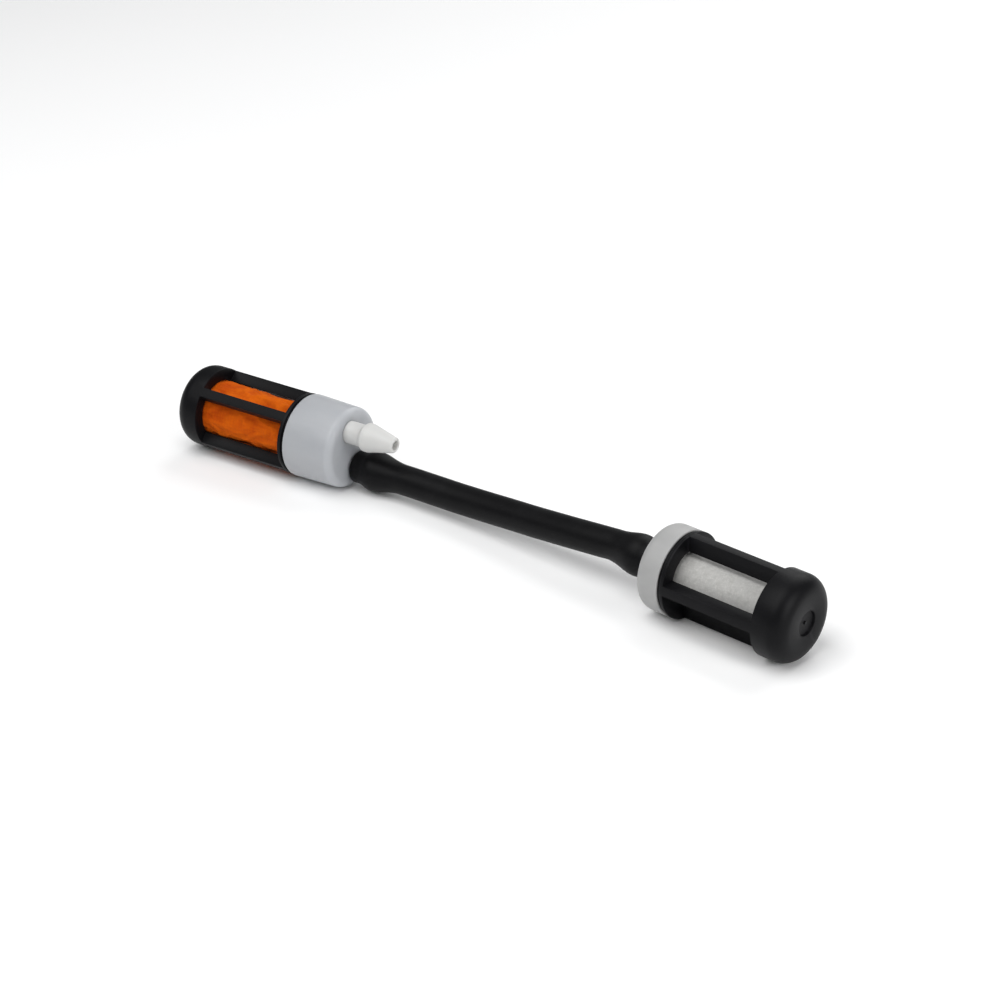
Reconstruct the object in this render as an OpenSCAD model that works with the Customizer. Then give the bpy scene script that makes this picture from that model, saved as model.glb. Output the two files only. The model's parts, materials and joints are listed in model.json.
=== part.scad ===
// Two-stage in-tank fuel pick-up filter: a main filter and a pre-filter joined by a rubber hose.
// Millimetres, +Z up. Origin on the outlet barb's gripping land, +X along the outlet.

/* [Cages] */
// outside diameter of both black cages
cage_d = 25; // [16:0.5:40]
// length of the main cage from its collar edge to its nose
main_cage_len = 42.1; // [30:0.1:60]
// length of the pick-up cage from its collar edge to its nose
pickup_cage_len = 40.4; // [30:0.1:60]
// length of the collar beside the cap
collar_len = 2; // [1.2:0.2:6]
// length of the main cage's domed nose
main_nose_len = 8.7; // [6:0.1:14]
// length of the pick-up cage's domed nose
pickup_nose_len = 9.3; // [6:0.1:14]
// radius of a nose's rounded edge
nose_round = 4.8; // [1:0.1:6]
// bore of the main cage, inside its ribs
main_cage_bore = 17.8; // [12:0.2:30]
// bore of the pick-up cage, inside its ribs
pickup_cage_bore = 16; // [12:0.2:30]
// number of ribs between collar and nose
rib_count = 4; // [3:1:8]
// width of a rib
rib_w = 2.9; // [1.6:0.1:5]
// roll of the main cage's ribs about its axis
main_rib_roll = 46; // [0:1:89]
// roll of the pick-up cage's ribs about its axis
pickup_rib_roll = 88; // [0:1:89]

/* [Caps] */
// outside diameter of the main cap
main_cap_d = 25.4; // [16:0.2:41]
// length of the main cap
main_cap_len = 17.1; // [12:0.1:30]
// outside diameter of the pick-up cap
pickup_cap_d = 25; // [16:0.2:41]
// length of the pick-up cap
pickup_cap_len = 7.9; // [7:0.1:15]
// rounding of the main cap's end edge
main_cap_round = 2.4; // [0.5:0.1:3]
// rounding of the pick-up cap's end edge
pickup_cap_round = 2.8; // [0.5:0.1:4]
// how much the main cap's radius narrows towards its end
cap_taper = 0.35; // [0:0.05:1]
// thickness of a cap's end wall
cap_wall = 2; // [1.5:0.1:4]

/* [Ports] */
// distance of each port from the main cap's axis
port_offset = 6.4; // [5.5:0.1:8]
// angle of the outlet above the horizontal, seen along the main axis
port_roll = 76; // [0:1:180]
// neck diameter of a barbed nipple
neck_d = 6.8; // [4:0.1:10]
// largest diameter of a barb
barb_d = 8.7; // [5:0.1:12]
// tip diameter of a barb
tip_d = 4.8; // [3:0.1:8]
// bore of a nipple
nipple_bore = 2.8; // [2:0.1:5]
// free length of the neck
neck_len = 5.4; // [3:0.1:10]
// free length of a nipple
nipple_len = 16.6; // [10:0.1:24]

/* [Filters] */
// outside diameter of the main filter bag
bag_d = 17; // [10:0.2:17.4]
// wall of the main filter bag
bag_wall = 0.8; // [0.4:0.1:2]
// outside diameter of the felt sock
sock_d = 12.8; // [10:0.2:15.6]
// wall of the felt sock
sock_wall = 2; // [1:0.1:3]

/* [Hose] */
// outside diameter of the hose
hose_d = 9; // [7:0.5:9]
// bore of the hose
hose_bore = 5; // [4:0.1:5]
// sides of the swept hose
hose_sides = 24; // [12:4:32]

/* [Display] */
// sub-part to draw

/* [Hidden] */
$fn = 96;
fit = 0.03;          // gap of parts that seat in each other
cage_r = cage_d / 2;
nose_wall = 2.2;
dimple_r = 3.6;      // shallow round recess in the nose's end
dimple_d = 0.7;
dimple_slope = 0.2;
gate_r = 0.5;        // small raised point in the recess
inner_round = 2.2;   // rounding inside the nose
band_len = 0.9;      // narrower band between collar and cap
band_step = 0.5;
skirt_len = 5;
skirt_r = 10.9;
skirt_bore_r = 9.4;
socket_r = 11;
main_chamber_r = 10.6;
pickup_chamber_r = 5;
edge = 0.3;          // small chamfer on moulded edges
over = 1;            // how far a cutting shape passes the surface it cuts

land_len = 1;        // gripping land of a barb
shoulder_len = 1.2;  // slope from the neck up to the land
shoulder_round = 0.5;
tip_round = 0.8;
barb_x = neck_len + shoulder_len + land_len / 2;
barb_r = barb_d / 2;
neck_r = neck_d / 2;
tip_r = tip_d / 2;
flange_r = 4.1;
flange_t = 1.2;
seat_step = 0.4;

groove_r = 10.1;
groove_z = -2.5;
groove_w = 1.8;
seal_w = 1.5;

core_gap = 0.1;
core_wall = 1.2;
core_flange_t = 1.2;
core_end_gap = 0.3;
slot_rows = 3;
slot_first = 2.5;    // where a core's first row of slots begins
slot_bridge = 2.4;   // solid tube between two rows
slot_share = 0.55;   // slot width as a share of the core's radius
bag_mouth = -5;
bag_end = main_cage_len - 4.6;
bag_round = 3;
sock_mouth = -2.75;
sock_end = pickup_cage_len - 3.6;
sock_round = 2.5;
ring_top = -0.2;     // upper end of a filter's retaining ring
bag_core_mouth = -6.25;
bag_core_flange_r = 10.4;
sock_core_mouth = -4;

port_y = port_offset * cos(port_roll);
port_z = port_offset * sin(port_roll);
main_org = [-barb_x, port_y, -port_z];
transfer_org = main_org + [0, port_y, -port_z];

// the pick-up's place and the hose's route belong together
pickup_at = [104.4, -8.2]; // centre of the pick-up cap's end face in plan
pickup_yaw = -8;         // turn of the pick-up's axis in plan
pickup_org = [pickup_at[0], pickup_at[1], main_org[2] + (pickup_cap_d - main_cap_d) / 2];
pickup_dir = [cos(pickup_yaw), sin(pickup_yaw), 0];
hose_route = [
    [14, 3, -12.4], [19, 2.8, -12.4], [24, 2.5, -12.3], [29, 2.1, -12.2],
    [34, 1.6, -11.9], [39, 1.1, -11.6], [44, 0.5, -11.2], [49, -0.2, -10.7],
    [54, -1, -10.2], [59, -1.8, -9.7], [64, -2.6, -9.1], [69, -3.4, -8.5],
    [74, -4.2, -7.9], [79, -4.9, -7.3], [84, -5.5, -6.8],
];

// hose section at distances from either cap face: [distance, bore radius, outer radius]
hose_end = [
    [0.5, 3.5, 4.85],
    [0.9, 3.5, 5],
    [2.5, 3.5, 5],
    [3.6, 3.5, 5.1],
    [4.6, 4.45, 5.4],
    [5.6, 4.45, 5.8],
    [6.8, 4.45, 6.05],
    [8.2, 4.3, 6],
    [9.8, 3.95, 5.72],
    [11.4, 3.58, 5.32],
    [13.2, 3.15, 4.9],
    [15, 2.75, 4.62],
    [16.6, hose_bore / 2, hose_d / 2],
];

// ---- placing ----

// main filter: local +Z is the outlet direction, z = 0 on the cap's end face
module on_main() {
    translate(main_org) rotate([0, 90, 0]) children();
}

// main cage: local +Z runs from the collar edge to the nose
module on_main_cage() {
    on_main() translate([0, 0, -main_cap_len]) rotate([180, 0, 0]) children();
}

// pick-up: local +Z runs from its cap's end face to the nose
module on_pickup() {
    translate(pickup_org) rotate([0, 0, pickup_yaw]) rotate([0, 90, 0]) children();
}

module on_pickup_cage() {
    on_pickup() translate([0, 0, pickup_cap_len]) children();
}

// ---- shared shapes ----

module ring(r_in, r_out, z0, z1) {
    rotate_extrude() translate([r_in, z0]) square([r_out - r_in, z1 - z0]);
}

// ring with both outer edges chamfered
module eased_ring(r_in, r_out, z0, z1) {
    rotate_extrude() polygon([
        [r_in, z0], [r_out - edge, z0], [r_out, z0 + edge],
        [r_out, z1 - edge], [r_out - edge, z1], [r_in, z1],
    ]);
}

function arc(cx, cz, r, a0, a1, n = 12) =
    [for (i = [0:n]) let (a = a0 + (a1 - a0) * i / n) [cx + r * cos(a), cz + r * sin(a)]];

module nose_profile(bore_r, len, window_end) {
    floor_z = len - nose_wall - dimple_d;
    polygon(concat(
        [[bore_r, window_end], [cage_r - edge, window_end], [cage_r, window_end + edge]],
        arc(cage_r - nose_round, len - nose_round, nose_round, 0, 90),
        [
            [dimple_r, len], [dimple_r - dimple_slope, len - dimple_d],
            [gate_r, len - dimple_d], [gate_r, len - dimple_d / 2],
            [0, len - dimple_d / 2], [0, floor_z],
        ],
        arc(bore_r - inner_round, floor_z - inner_round, inner_round, 90, 0, 8)
    ));
}

// cage with its collar edge at z = 0, ribs and nose above it and the skirt below
module cage(roll, bore_r, len, nose_len) {
    window_end = len - nose_len;
    color("#26262a") {
        difference() {
            union() {
                ring(bore_r, cage_r - band_step, 0, band_len);
                eased_ring(bore_r, cage_r, band_len, collar_len);
                rotate_extrude() nose_profile(bore_r, len, window_end);
                for (i = [0:rib_count - 1])
                    rotate(roll + i * 360 / rib_count) rib(bore_r, window_end);
                ring(skirt_bore_r, skirt_r, -skirt_len, band_len / 2);
            }
            ring(groove_r, cage_r, groove_z - groove_w / 2, groove_z + groove_w / 2);
        }
    }
}

module rib(bore_r, window_end) {
    bite = 0.5;      // overlap with the collar and the nose
    skin = 0.1;      // how far a rib lies below the collar's skin
    intersection() {
        translate([bore_r - skin, -rib_w / 2, collar_len - bite])
            cube([cage_r, rib_w, window_end - collar_len + 2 * bite]);
        cylinder(r = cage_r - skin, h = window_end + bite);
    }
}

// cup with its rounded end at z = 0 and its rim at z = -len
module cap_shell(r, len, end_round, taper, hole_at, chamber_r) {
    difference() {
        rotate_extrude() polygon(concat(
            [[0, -len], [r - edge, -len], [r, -len + edge]],
            arc(r - taper - end_round, -end_round, end_round, 0, 90),
            [[0, 0]]
        ));
        translate([0, 0, -len - over]) cylinder(r = socket_r, h = skirt_len + seat_step + over);
        translate([0, 0, -len - over]) cylinder(r = chamber_r, h = len - cap_wall + over);
        for (p = hole_at)
            translate([p[0], p[1], -cap_wall - over]) cylinder(r = neck_r + fit, h = cap_wall + 2 * over);
    }
}

// barbed nipple with its neck's root at z = 0, on the cap's end face
module nipple() {
    shoulder_z = neck_len + shoulder_len;
    rotate_extrude() polygon(concat(
        [
            [nipple_bore / 2, -cap_wall - flange_t], [flange_r, -cap_wall - flange_t],
            [flange_r, -cap_wall], [neck_r, -cap_wall], [neck_r, neck_len],
        ],
        arc(barb_r - shoulder_round, shoulder_z, shoulder_round, -70, 0, 6),
        [[barb_r, shoulder_z + land_len]],
        arc(tip_r - tip_round, nipple_len - tip_round, tip_round, 12, 90, 6),
        [[nipple_bore / 2, nipple_len]]
    ));
}

module seal() {
    color("#1b1b1d")
        translate([0, 0, groove_z])
            eased_ring(groove_r + fit, socket_r - fit, -seal_w / 2, seal_w / 2);
}

// closed-end filter sleeve, mouth at z0 and end at z1
module sleeve(r, wall, z0, z1, round) {
    rotate_extrude() polygon(concat(
        [[r - wall, z0], [r, z0]],
        arc(r - round, z1 - round, round, 0, 90),
        [[0, z1], [0, z1 - wall], [r - wall, z1 - wall]]
    ));
}

// slotted support tube with a mouth flange
module core(r, z0, z1, flange_r, slots) {
    slot_w = r * slot_share;
    row_len = (z1 - slot_first) / slot_rows;
    difference() {
        union() {
            ring(r - core_wall, r, z0, z1);
            ring(r - core_wall, flange_r, z0, z0 + core_flange_t);
            translate([0, 0, z1 - core_wall]) cylinder(r = r, h = core_wall);
        }
        for (row = [0:slot_rows - 1], i = [0:slots - 1])
            rotate(i * 360 / slots)
                translate([0, -slot_w / 2, slot_first + row * row_len])
                    cube([r + over, slot_w, row_len - slot_bridge]);
    }
}

// ---- hose ----

function unit(v) = v / norm(v);

hose_line = concat(
    [for (s = hose_end) [transfer_org + [s[0], 0, 0], s[1], s[2]]],
    [for (p = hose_route) [p, hose_bore / 2, hose_d / 2]],
    [for (i = [len(hose_end) - 1:-1:0])
        let (s = hose_end[i]) [pickup_org - s[0] * pickup_dir, s[1], s[2]]]
);

function tangent(i) =
    let (n = len(hose_line) - 1)
    i < len(hose_end) ? [1, 0, 0]
    : i > n - len(hose_end) ? pickup_dir
    : unit(hose_line[i + 1][0] - hose_line[i - 1][0]);

function hoop(i, k) =
    let (
        d = tangent(i),
        side = unit(cross([0, 0, 1], d)),
        up = cross(d, side),
        r = hose_line[i][k] / (k == 1 ? cos(180 / hose_sides) : 1)
    )
    [for (j = [0:hose_sides - 1])
        let (a = 360 * j / hose_sides)
        hose_line[i][0] + r * (cos(a) * side + sin(a) * up)];

module swept_hose() {
    rows = len(hose_line);
    n = hose_sides;
    pts = concat(
        [for (i = [0:rows - 1]) each hoop(i, 2)],
        [for (i = [0:rows - 1]) each hoop(i, 1)]
    );
    off = rows * n;
    last = (rows - 1) * n;
    faces = concat(
        [for (i = [0:rows - 2], j = [0:n - 1]) let (m = (j + 1) % n)
            each [
                [i * n + j, (i + 1) * n + j, (i + 1) * n + m],
                [i * n + j, (i + 1) * n + m, i * n + m],
                [off + i * n + j, off + (i + 1) * n + m, off + (i + 1) * n + j],
                [off + i * n + j, off + i * n + m, off + (i + 1) * n + m],
            ]],
        [for (j = [0:n - 1]) let (m = (j + 1) % n)
            each [
                [j, m, off + m],
                [j, off + m, off + j],
                [last + m, last + j, off + last + j],
                [last + m, off + last + j, off + last + m],
            ]]
    );
    polyhedron(points = pts, faces = faces, convexity = 6);
}

// ---- sub-parts ----

module main_cage() {
    on_main_cage() cage(main_rib_roll, main_cage_bore / 2, main_cage_len, main_nose_len);
}

module main_bag() {
    color("#c95c14")
        on_main_cage() sleeve(bag_d / 2, bag_wall, bag_mouth, bag_end, bag_round);
}

module main_bag_core() {
    r = bag_d / 2 - bag_wall - core_gap;
    color("#d9d9d6")
        on_main_cage() core(r, bag_core_mouth, bag_end - bag_wall - core_end_gap, bag_core_flange_r, 6);
}

module main_bag_ring() {
    color("#d9d9d6")
        on_main_cage() ring(bag_d / 2 + fit, skirt_bore_r - fit, bag_mouth, ring_top);
}

module main_cap() {
    ports = [[-port_z, -port_y], [port_z, port_y]];
    color("#c3c7cb")
        on_main()
            cap_shell(main_cap_d / 2, main_cap_len, main_cap_round, cap_taper, ports, main_chamber_r);
}

module main_seal() {
    on_main_cage() seal();
}

module outlet_nipple() {
    color("#e2e2df")
        on_main() translate([-port_z, -port_y, 0]) nipple();
}

module transfer_nipple() {
    color("#e2e2df")
        on_main() translate([port_z, port_y, 0]) nipple();
}

module hose() {
    color("#202124") swept_hose();
}

module pickup_nipple() {
    color("#e2e2df")
        on_pickup() rotate([180, 0, 0]) nipple();
}

module pickup_cap() {
    color("#d2d5d6")
        on_pickup() rotate([180, 0, 0])
            cap_shell(pickup_cap_d / 2, pickup_cap_len, pickup_cap_round, 0, [[0, 0]], pickup_chamber_r);
}

module pickup_seal() {
    on_pickup_cage() seal();
}

module pickup_cage() {
    on_pickup_cage() cage(pickup_rib_roll, pickup_cage_bore / 2, pickup_cage_len, pickup_nose_len);
}

module pickup_sock() {
    color("#b2b2b0")
        on_pickup_cage() sleeve(sock_d / 2, sock_wall, sock_mouth, sock_end, sock_round);
}

module pickup_core() {
    r = sock_d / 2 - sock_wall - core_gap;
    color("#d9d9d6")
        on_pickup_cage()
            core(r, sock_core_mouth, sock_end - sock_wall - core_end_gap, skirt_bore_r - fit, 5);
}

module pickup_sock_ring() {
    color("#d9d9d6")
        on_pickup_cage() ring(sock_d / 2 + fit, skirt_bore_r - fit, sock_mouth, ring_top);
}

main_cage();
main_bag();
main_bag_core();
main_bag_ring();
main_cap();
main_seal();
outlet_nipple();
transfer_nipple();
hose();
pickup_nipple();
pickup_cap();
pickup_seal();
pickup_cage();
pickup_sock();
pickup_core();
pickup_sock_ring();
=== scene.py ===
"""In-tank fuel filter: two caged filters joined by a rubber hose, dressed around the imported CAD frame."""

import json
import logging
import math
from dataclasses import dataclass, field
from enum import Enum
from typing import Any, Callable, Dict, List, Optional, Sequence, Tuple, Union

import bmesh
import bpy
from mathutils import Matrix, Vector, noise

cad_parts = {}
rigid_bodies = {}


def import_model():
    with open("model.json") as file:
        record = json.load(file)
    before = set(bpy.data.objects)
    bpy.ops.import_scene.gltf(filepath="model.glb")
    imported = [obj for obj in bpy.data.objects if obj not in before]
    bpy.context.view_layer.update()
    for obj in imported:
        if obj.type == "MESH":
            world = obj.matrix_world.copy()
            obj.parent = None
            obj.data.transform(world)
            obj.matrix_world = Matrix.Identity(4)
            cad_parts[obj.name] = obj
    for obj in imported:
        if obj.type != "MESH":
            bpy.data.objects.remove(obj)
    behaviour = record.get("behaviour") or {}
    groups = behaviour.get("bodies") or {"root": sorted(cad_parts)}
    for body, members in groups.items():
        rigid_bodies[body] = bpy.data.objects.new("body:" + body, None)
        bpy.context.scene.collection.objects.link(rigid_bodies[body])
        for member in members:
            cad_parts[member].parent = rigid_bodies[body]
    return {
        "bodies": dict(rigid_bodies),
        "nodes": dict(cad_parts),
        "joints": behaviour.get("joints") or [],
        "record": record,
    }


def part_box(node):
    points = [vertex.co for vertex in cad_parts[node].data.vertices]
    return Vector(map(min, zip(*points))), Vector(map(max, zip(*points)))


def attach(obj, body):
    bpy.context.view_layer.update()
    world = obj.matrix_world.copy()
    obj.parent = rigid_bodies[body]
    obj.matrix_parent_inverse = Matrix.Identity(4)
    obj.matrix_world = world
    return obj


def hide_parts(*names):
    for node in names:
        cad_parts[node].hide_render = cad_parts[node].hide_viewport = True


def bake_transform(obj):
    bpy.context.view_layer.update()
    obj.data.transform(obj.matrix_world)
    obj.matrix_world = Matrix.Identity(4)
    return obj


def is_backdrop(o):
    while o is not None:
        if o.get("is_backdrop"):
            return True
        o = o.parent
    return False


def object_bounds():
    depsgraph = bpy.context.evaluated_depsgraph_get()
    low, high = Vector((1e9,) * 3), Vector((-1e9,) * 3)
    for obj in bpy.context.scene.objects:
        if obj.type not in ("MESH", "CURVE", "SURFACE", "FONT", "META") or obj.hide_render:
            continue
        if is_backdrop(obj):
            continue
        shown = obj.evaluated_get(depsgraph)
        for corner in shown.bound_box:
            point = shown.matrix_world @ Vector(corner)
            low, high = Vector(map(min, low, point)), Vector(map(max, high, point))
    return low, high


LOG = logging.getLogger("fuel_filter")
MM = 0.001
SMOOTH = 180.0

Colour = Tuple[float, float, float, float]
Number = Union[float, "Sock"]
Point2 = Tuple[float, float]
Point3 = Tuple[float, float, float]


# ---------------------------------------------------------------- shader board


def arithmetic(operation: str, swapped: bool = False) -> Callable[["Sock", Number], "Sock"]:
    """Makes one of Sock's arithmetic methods.

    Args:
        operation: the Math node's operation.
        swapped: whether the other value comes first.

    Returns:
        The method.
    """

    def method(self: "Sock", other: Number) -> "Sock":
        """Adds one Math node and returns its result."""
        pair = (other, self) if swapped else (self, other)
        return self.board.math(operation, *pair)

    return method


class Sock:
    """One output of a node tree. Arithmetic on it adds the Math nodes that do the sum."""

    __add__ = arithmetic("ADD")
    __radd__ = arithmetic("ADD", swapped=True)
    __sub__ = arithmetic("SUBTRACT")
    __rsub__ = arithmetic("SUBTRACT", swapped=True)
    __mul__ = arithmetic("MULTIPLY")
    __rmul__ = arithmetic("MULTIPLY", swapped=True)
    __pow__ = arithmetic("POWER")

    def __init__(self, board: "Board", socket: bpy.types.NodeSocket) -> None:
        """Wraps a socket.

        Args:
            board: the board that the socket's node stands on.
            socket: the output socket.
        """
        self.board = board
        self.socket = socket

    def clamped(self) -> "Sock":
        """Returns self held between 0 and 1."""
        return self.board.math("MINIMUM", self.board.math("MAXIMUM", self, 0.0), 1.0)


class Board:
    """The node tree of one material, with one method that adds any node."""

    def __init__(self, name: str) -> None:
        """Starts an empty material.

        Args:
            name: the material's name.
        """
        self.material = bpy.data.materials.new(name)
        self.material.use_nodes = True
        self.tree = self.material.node_tree
        self.tree.nodes.clear()
        self._coords: Optional[Sock] = None

    def node(
        self,
        kind: str,
        settings: Optional[Dict[str, Any]] = None,
        values: Optional[Dict[Union[str, int], Any]] = None,
    ) -> bpy.types.Node:
        """Adds a node.

        Args:
            kind: the node's type, without its ShaderNode prefix.
            settings: attributes, set before the sockets; "stops" fills a colour ramp.
            values: socket name or index to a number, a tuple or a Sock.

        Returns:
            The new node.
        """
        made = self.tree.nodes.new("ShaderNode" + kind)
        for key, value in (settings or {}).items():
            if key == "stops":
                self._fill_ramp(made.color_ramp, value)
            else:
                setattr(made, key, value)
        for key, value in (values or {}).items():
            target = made.inputs[key]
            if isinstance(value, Sock):
                self.tree.links.new(value.socket, target)
            else:
                target.default_value = value
        return made

    @staticmethod
    def _fill_ramp(ramp: bpy.types.ColorRamp, stops: Sequence[Tuple[float, Colour]]) -> None:
        """Sets a colour ramp's stops."""
        while len(ramp.elements) > 1:
            ramp.elements.remove(ramp.elements[-1])
        ramp.elements[0].position, ramp.elements[0].color = stops[0]
        for position, colour in stops[1:]:
            ramp.elements.new(position).color = colour

    def out(self, made: bpy.types.Node, name: Union[str, int] = 0) -> Sock:
        """Returns one output of a node as a Sock."""
        return Sock(self, made.outputs[name])

    def math(self, operation: str, *values: Number) -> Sock:
        """Adds a Math node.

        Args:
            operation: the Math node's operation.
            values: its inputs, numbers or Socks.

        Returns:
            The node's result.
        """
        return self.out(self.node("Math", {"operation": operation}, dict(enumerate(values))))

    def coords(self) -> Sock:
        """Returns the piece's Object coordinates."""
        if self._coords is None:
            self._coords = self.out(self.node("TexCoord"), "Object")
        return self._coords

    def mapped(self, scale: Point3, turn: Point3 = (0, 0, 0)) -> Sock:
        """Returns the Object coordinates turned, then scaled.

        Args:
            scale: the factor along each axis.
            turn: the rotation in radians.

        Returns:
            The mapped coordinates.
        """
        mapping = self.node("Mapping", {}, {"Vector": self.coords(), "Scale": scale, "Rotation": turn})
        return self.out(mapping)

    def grain(self, scale: float, detail: float, rough: float, at: Optional[Sock] = None) -> Sock:
        """Returns a noise value from 0 to 1.

        Args:
            scale: noise cells per metre.
            detail: octaves.
            rough: how strong the fine octaves are.
            at: the coordinates, Object coordinates where left out.

        Returns:
            The noise value.
        """
        values = {"Vector": at or self.coords(), "Scale": scale, "Detail": detail, "Roughness": rough}
        return self.out(self.node("TexNoise", {}, values), "Fac")

    def cells(self, scale: float) -> Sock:
        """Returns a Voronoi distance."""
        made = self.node("TexVoronoi", {}, {"Vector": self.coords(), "Scale": scale})
        return self.out(made, "Distance")

    def mixed(self, factor: Number, first: Any, second: Any) -> Sock:
        """Returns a blend of two colours.

        Args:
            factor: 0 for the first colour, 1 for the second.
            first: a colour or a Sock.
            second: a colour or a Sock.

        Returns:
            The blended colour.
        """
        made = self.node("Mix", {"data_type": "RGBA"}, {0: factor, 6: first, 7: second})
        return self.out(made, 2)

    def stepped(self, value: Number, low: float, high: float) -> Sock:
        """Returns value eased from 0 at low to 1 at high."""
        settings = {"interpolation_type": "SMOOTHSTEP"}
        made = self.node("MapRange", settings, {"Value": value, "From Min": low, "From Max": high})
        return self.out(made)

    def bumped(
        self, height: Number, strength: float, distance: float, under: Optional[Sock] = None
    ) -> Sock:
        """Returns a normal bent by a height.

        Args:
            height: the height value.
            strength: the bump's strength.
            distance: the height in metres that 1 stands for.
            under: a normal to build on.

        Returns:
            The bent normal.
        """
        values: Dict[Union[str, int], Any] = {"Height": height, "Strength": strength, "Distance": distance}
        if under is not None:
            values["Normal"] = under
        return self.out(self.node("Bump", {}, values))

    def finish(
        self, constants: Dict[str, Any], colour: Sock, rough: Sock, normal: Sock
    ) -> bpy.types.Material:
        """Closes the tree with a Principled shader.

        Args:
            constants: socket values that are the same all over.
            colour: the Base Color.
            rough: the Roughness.
            normal: the Normal.

        Returns:
            The finished material.
        """
        links = {"Base Color": colour, "Roughness": rough, "Normal": normal}
        shader = self.node("BsdfPrincipled", {}, {**constants, **links})
        self.node("OutputMaterial", {}, {"Surface": self.out(shader)})
        return self.material


# ---------------------------------------------------------------- finishes


@dataclass(frozen=True)
class Finish:
    """What every finish has: a name and a main colour."""

    name: str
    colour: Colour

    def make(self) -> bpy.types.Material:
        """Returns the finished material."""
        raise NotImplementedError


@dataclass(frozen=True)
class CagePlastic(Finish):
    """Black moulded nylon with a fine spark-eroded grain, paler where it is rubbed."""

    rubbed: Colour = (0.012, 0.012, 0.014, 1)
    rough: float = 0.38

    def make(self) -> bpy.types.Material:
        """Returns the black plastic."""
        b = Board(self.name)
        cloud = b.grain(90, 3, 0.55)
        fine = b.grain(2600, 2, 0.6)
        drift = b.grain(420, 4, 0.6)
        scuffs = b.stepped(b.grain(700, 5, 0.7, b.mapped((1, 0.16, 1), (0.3, 0.2, 0.5))), 0.60, 0.74)
        edge = self._edges(b)
        tone = (edge * 0.55 + scuffs * 0.16 + b.stepped(cloud, 0.45, 0.75) * 0.22).clamped()
        colour = b.mixed(tone, self.colour, self.rubbed)
        rough = self.rough + cloud * 0.10 + (fine - 0.5) * 0.10 + scuffs * 0.08 - edge * 0.05
        normal = b.bumped(fine * 0.6 + drift * 0.4, 0.35, 0.00006)
        return b.finish({"IOR": 1.45, "Specular IOR Level": 0.13}, colour, rough, normal)

    @staticmethod
    def _edges(b: Board) -> Sock:
        """Returns 1 on outward edges and 0 on flat walls."""
        point = b.out(b.node("NewGeometry"), "Pointiness")
        return b.stepped(point, 0.515, 0.58)


@dataclass(frozen=True)
class NaturalPlastic(Finish):
    """Undyed plastic that lets some light in, with a faint flow pattern."""

    shade: Colour = (0.5, 0.52, 0.55, 1)
    rough: float = 0.34
    glow: float = 0.35
    depth: Point3 = (1.0, 0.95, 0.9)
    reach: float = 0.003

    def make(self) -> bpy.types.Material:
        """Returns the translucent plastic."""
        b = Board(self.name)
        flow = b.grain(110, 4, 0.55, b.mapped((0.45, 1, 1)))
        fine = b.grain(1900, 3, 0.6)
        specks = b.stepped(b.cells(520), 0.10, 0.04)
        tone = (b.stepped(flow, 0.35, 0.72) * 0.6 + specks * 0.15).clamped()
        colour = b.mixed(tone, self.colour, self.shade)
        rough = self.rough + flow * 0.12 + (fine - 0.5) * 0.08
        normal = b.bumped(fine * 0.4 + flow * 0.6, 0.22, 0.00008)
        constants = {
            "IOR": 1.5,
            "Subsurface Weight": self.glow,
            "Subsurface Radius": self.depth,
            "Subsurface Scale": self.reach,
        }
        return b.finish(constants, colour, rough, normal)


@dataclass(frozen=True)
class HoseRubber(Finish):
    """Black extruded rubber: faint draw lines along it and a dusty bloom."""

    bloom: Colour = (0.010, 0.010, 0.011, 1)
    rough: float = 0.40

    def make(self) -> bpy.types.Material:
        """Returns the rubber."""
        b = Board(self.name)
        lines = b.grain(1500, 3, 0.6, b.mapped((0.02, 1, 1)))
        cloud = b.grain(160, 4, 0.6)
        fine = b.grain(3200, 2, 0.5)
        dust = b.stepped(b.grain(900, 5, 0.75), 0.60, 0.76)
        tone = (b.stepped(cloud, 0.46, 0.74) * 0.28 + dust * 0.20 + (lines - 0.5) * 0.3).clamped()
        colour = b.mixed(tone, self.colour, self.bloom)
        rough = self.rough + cloud * 0.12 + dust * 0.12 + (lines - 0.5) * 0.14
        normal = b.bumped(lines * 0.7 + fine * 0.3, 0.30, 0.00006)
        return b.finish({"IOR": 1.45, "Specular IOR Level": 0.13}, colour, rough, normal)


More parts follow.
